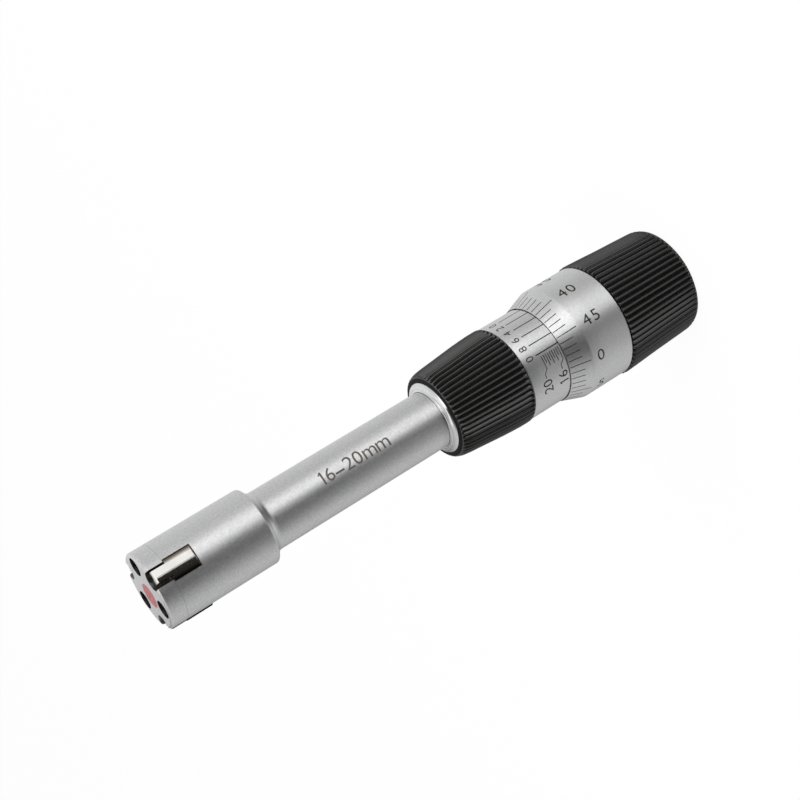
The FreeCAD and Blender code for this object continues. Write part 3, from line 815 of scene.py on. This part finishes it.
thimbleRings = [(19.82, 87.66), (20.02, 87.3), (20.1, 87.3), (20.12, 87.34)]
for edge in ("lineFrom", "shortTo", "longTo"):
    thimbleRings.append((bevelDia(thimbleMarks[edge]), thimbleMarks[edge]))
thimbleRings += [(23.24, 91.82), (23.3, 92.0), (23.3, 96.0), (23.3, 101.4), (22.7, 101.7),
                 (14.0, 101.7), (14.0, 98.0), (19.82, 98.0)]
division = 360 / thimbleMarks["divisions"]
column = division / thimbleMarks["columns"]
thimble = turnRings(thimbleRings, thimbleMarks["divisions"] * thimbleMarks["columns"],
                    math.radians(column / 2 - thimbleMarks["zeroTurn"] % column))
thimble.data.materials.append(sleeveChrome)


def onLine(point):
    depth = axisTop - point.z / mm
    turn = (math.degrees(math.atan2(-point.x, -point.y)) - thimbleMarks["zeroTurn"]) % 360
    count = round(turn / division)
    end = thimbleMarks["shortTo"] if count % 5 else thimbleMarks["longTo"]
    return (abs(turn - count * division) < thimbleMarks["lineShare"] * column
            and thimbleMarks["lineFrom"] < depth < end
            and math.hypot(point.x, point.y) > thimbleMarks["innerRadius"] * mm)


def inMouth(point):
    return (thimbleMarks["mouthFrom"] < axisTop - point.z / mm < thimbleMarks["mouthTo"]
            and math.hypot(point.x, point.y) < thimbleMarks["mouthRadius"] * mm)


makeActive(thimble)
bpy.ops.object.mode_set(mode="EDIT")
pickFaces(thimble, inMouth)
paintPicked(thimble, darkInk)
pickFaces(thimble, onLine)
sink = {"value": -thimbleMarks["lineDepth"] * mm}
bpy.ops.mesh.extrude_region_shrink_fatten(TRANSFORM_OT_shrink_fatten=sink)
bpy.ops.mesh.select_more()
paintPicked(thimble, darkInk)
bpy.ops.object.mode_set(mode="OBJECT")
inked = sum(1 for face in thimble.data.polygons if face.material_index)
print("thimble lines pressed in, inked faces:", inked)


def onThimble(piece, depth, count):
    turn = thimbleMarks["zeroTurn"] + division * count
    return layRound(piece, depth, turn, thimbleMarks["dia"] / 2)


tools = []
strokes = []
for i in range(0, thimbleMarks["divisions"], 5):
    places = [thimbleMarks["firstFigure"], thimbleMarks["secondFigure"]]
    if i < 10:
        places = [thimbleMarks["zeroFigure"]]
    for figure, depth in zip(str(i), places):
        number = lettering(figure, thimbleMarks["figureSize"], (0, 0),
                           thimbleMarks["figureStretch"])
        tools.append(onThimble(number, depth, i))
        if figure == "1":
            strokes.append((depth, i))
engrave(thimble, joinAll(tools, "thimbleTool"), darkInk)
flags = [onThimble(flag(thimbleMarks["figureSize"], thimbleMarks["flagWidth"]), depth, i)
         for depth, i in strokes]
engrave(thimble, joinAll(flags, "flagTool"), darkInk)
settle(thimble, "thimbleShell", thimbleMarks["smoothUnder"])
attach(thimble, "thimble_spindle")
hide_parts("thimble")
print("thimble engraved, figures:", len(tools))

# range marking etched on the neck
neckMarks = {
    "figures": (("1", 35.45, 2.5, 1.0), ("6", 36.97, 2.5, 1.05), ("–", 38.9, 2.6, 1.0),
                ("2", 41.07, 2.5, 1.1), ("0", 43.04, 2.5, 1.1), ("m", 45.62, 2.85, 1.06),
                ("m", 48.55, 2.85, 1.06)),  # figure, depth, size and stretch
    "size": 2.5,
    "thick": 0.012,
    "dashWidth": 1.6,
    "flagWidth": 0.24,
    "flagFlat": 0.09,
    "turn": -11.0,
    "radius": 5.725,
    "smoothUnder": 30,
}
figures = []
for figure, depth, size, stretch in neckMarks["figures"]:
    aside = (size - neckMarks["size"]) / 2
    flat = lettering(figure, size, (0, aside), stretch, neckMarks["thick"])
    if figure == "1":
        flat = joinAll([flat, flag(size, neckMarks["flagWidth"], neckMarks["flagFlat"])], "one")
    if figure == "–":
        flat.scale = (1, neckMarks["dashWidth"], 1)
        makeActive(flat)
        bpy.ops.object.transform_apply(location=True, rotation=True, scale=True)
    figures.append(layRound(flat, depth, neckMarks["turn"], neckMarks["radius"]))
marking = joinAll(figures, "neckMarking")
marking.data.materials.clear()
marking.data.materials.append(etchedGrey)
settle(marking, "neckMarking", neckMarks["smoothUnder"])
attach(marking, "frame")
print("neck marked")

# studio
studio = {
    "floorSize": 30.0,
    "floorHeight": -0.00005,
    "floorColour": (0.95, 0.95, 0.95, 1),
    "floorRough": 0.9,
    "floorGlow": 0.95,
    "roomLight": 0.7,
    "cardTone": (1, 0.9, 0.8),  # a little warm
    "lampAim": (0, 0, 0.06),
    "lamps": (("keyLamp", (0.45, -0.35, 0.6), 0.5, 3.2),
              ("fillLamp", (-0.5, -0.3, 0.35), 0.6, 1.2)),  # place, size and power
}
deselectAll()
bpy.ops.mesh.primitive_plane_add(size=studio["floorSize"], location=(0, 0, studio["floorHeight"]))
floor = bpy.context.object
floor.name = "floor"
floorPaint, tree, shader, _ = newMaterial("floor paper")
shader.inputs["Base Color"].default_value = studio["floorColour"]
shader.inputs["Roughness"].default_value = studio["floorRough"]
shader.inputs["Specular IOR Level"].default_value = 0.0
glow = tree.nodes.new("ShaderNodeEmission")
path = tree.nodes.new("ShaderNodeLightPath")
mix = tree.nodes.new("ShaderNodeMixShader")
share = calc(tree, "MULTIPLY", path.outputs["Is Camera Ray"], studio["floorGlow"])
tree.links.new(share, mix.inputs["Fac"])
tree.links.new(shader.outputs[0], mix.inputs[1])
tree.links.new(glow.outputs[0], mix.inputs[2])
tree.links.new(mix.outputs[0], tree.nodes["Material Output"].inputs["Surface"])
floor.data.materials.append(floorPaint)
floor.visible_glossy = False

# the studio's walls as the metal sees them, a window left of the front, a dark side right of it
studioWall = {
    # turn, level that the head sees and level that the thimble sees
    "stops": ((-180, 0.72, 0.72), (-140, 0.72, 0.72), (-120, 0.66, 0.68), (-100, 0.64, 0.58),
              (-84, 0.57, 0.46), (-70, 0.56, 0.44), (-58, 0.7, 0.6), (-40, 1.3, 1.12),
              (-10, 1.3, 1.06), (-4, 0.07, 0.13), (22, 0.04, 0.28), (40, 0.08, 0.45),
              (60, 0.3, 0.42), (80, 0.48, 0.56), (100, 0.58, 0.6), (130, 0.52, 0.56),
              (150, 0.4, 0.42), (165, 0.2, 0.2), (179, 0.5, 0.5)),
    "fullLevel": 1.2,
    "sides": 96,
    "radius": 1.4,
    "height": 6.0,
    "thimbleLevelUnder": -0.77,
    "headLevelOver": -0.27,
    "lift": ((-0.6, 1.2), (0.8, 1.4)),  # strength at two heights
}


# glowing paper that is seen only in reflections
def hangPaper(piece, name):
    piece.name = name
    paint = bpy.data.materials.new(name + " paper")
    paint.use_nodes = True
    paint.cycles.emission_sampling = "NONE"
    tree = paint.node_tree
    tree.nodes.clear()
    light = tree.nodes.new("ShaderNodeEmission")
    out = tree.nodes.new("ShaderNodeOutputMaterial")
    tree.links.new(light.outputs[0], out.inputs[0])
    piece.data.materials.append(paint)
    piece.visible_camera = False
    piece.visible_diffuse = False
    piece.visible_shadow = False
    return tree, light


def mapHeight(tree, low, high):
    fit = tree.nodes.new("ShaderNodeMapRange")
    for spot, value in zip(("From Min", "To Min", "From Max", "To Max"), (*low, *high)):
        fit.inputs[spot].default_value = value
    tree.links.new(heightOf(tree), fit.inputs["Value"])
    return fit.outputs[0]


deselectAll()
bpy.ops.mesh.primitive_cylinder_add(vertices=studioWall["sides"], radius=studioWall["radius"],
                                    depth=studioWall["height"], end_fill_type="NOTHING")
studioWalls = bpy.context.object
tree, light = hangPaper(studioWalls, "studioWalls")
coords = tree.nodes.new("ShaderNodeTexCoord")
turnWalls = tree.nodes.new("ShaderNodeMapping")
turnWalls.inputs["Rotation"].default_value = (0, 0, math.radians(90))
angle = tree.nodes.new("ShaderNodeTexGradient")
angle.gradient_type = "RADIAL"
tree.links.new(coords.outputs["Object"], turnWalls.inputs["Vector"])
tree.links.new(turnWalls.outputs[0], angle.inputs["Vector"])
blend = tree.nodes.new("ShaderNodeMix")
blend.data_type = "RGBA"
upward = mapHeight(tree, (studioWall["thimbleLevelUnder"], 0), (studioWall["headLevelOver"], 1))
tree.links.new(upward, blend.inputs[0])
for side, spot in ((1, 7), (2, 6)):
    ramp = tree.nodes.new("ShaderNodeValToRGB")
    while len(ramp.color_ramp.elements) < len(studioWall["stops"]):
        ramp.color_ramp.elements.new(0.5)
    for element, stop in zip(ramp.color_ramp.elements, reversed(studioWall["stops"])):
        level = stop[side] / studioWall["fullLevel"]
        element.position = 0.5 - stop[0] / 360
        element.color = (level, level, level, 1)
    tree.links.new(angle.outputs["Fac"], ramp.inputs["Fac"])
    tree.links.new(ramp.outputs["Color"], blend.inputs[spot])
tree.links.new(blend.outputs[2], light.inputs["Color"])
tree.links.new(mapHeight(tree, *studioWall["lift"]), light.inputs["Strength"])

# cards that catch only the bright faces: low on the walls for the anvils, one below the floor
# for the corner behind the head
onWall = {"out": 1.32, "height": -0.178, "width": 0.15, "tilt": 90}
underFloor = {"out": 0.75, "height": -1.14, "width": 1.3, "tilt": 0}
cards = (("darkCard", (-17, 24), 0.03, onWall), ("edgeCard", (-19, -17), 0.5, onWall),
         ("greyCard", (-66, -54), 0.36, onWall), ("paleCard", (-54, -46), 0.55, onWall),
         ("lightCard", (-46, -40), 0.8, onWall), ("underCard", (-84, 6), 0.03, underFloor))
for name, turns, level, spot in cards:
    low, high = [math.radians(turn) for turn in turns]
    middle = (low + high) / 2
    place = (-math.sin(middle) * spot["out"], -math.cos(middle) * spot["out"], spot["height"])
    deselectAll()
    bpy.ops.mesh.primitive_plane_add(size=1, location=place,
                                     rotation=(math.radians(spot["tilt"]), 0, -middle))
    card = bpy.context.object
    card.scale = (spot["out"] * (high - low), spot["width"], 1)
    light = hangPaper(card, name)[1]
    light.inputs["Color"].default_value = (*[level * part for part in studio["cardTone"]], 1)

# white room: the camera and reflections see it at 1, and it lights the rest a little lower
world = bpy.context.scene.world or bpy.data.worlds.new("room")
bpy.context.scene.world = world
world.use_nodes = True
world.cycles.sampling_method = "NONE"
tree = world.node_tree
tree.nodes.clear()
path = tree.nodes.new("ShaderNodeLightPath")
seen = calc(tree, "MAXIMUM", path.outputs["Is Camera Ray"], path.outputs["Is Glossy Ray"])
seen = calc(tree, "MAXIMUM", seen, path.outputs["Is Transmission Ray"])
paper = tree.nodes.new("ShaderNodeBackground")
paper.inputs["Color"].default_value = (1, 1, 1, 1)
glowing = tree.nodes.new("ShaderNodeBackground")
glowing.inputs["Color"].default_value = (1, 1, 1, 1)
glowing.inputs["Strength"].default_value = studio["roomLight"]
mix = tree.nodes.new("ShaderNodeMixShader")
out = tree.nodes.new("ShaderNodeOutputWorld")
tree.links.new(seen, mix.inputs["Fac"])
tree.links.new(glowing.outputs[0], mix.inputs[1])
tree.links.new(paper.outputs[0], mix.inputs[2])
tree.links.new(mix.outputs[0], out.inputs[0])

for name, place, size, power in studio["lamps"]:
    deselectAll()
    bpy.ops.object.light_add(type="AREA", location=place)
    lamp = bpy.context.object
    lamp.name = name
    lamp.data.size = size
    lamp.data.energy = power
    lamp.visible_glossy = False
    aim = Vector(studio["lampAim"]) - Vector(place)
    lamp.rotation_euler = aim.to_track_quat("-Z", "Y").to_euler()
bpy.context.scene.view_settings.view_transform = "Standard"
print("studio set")
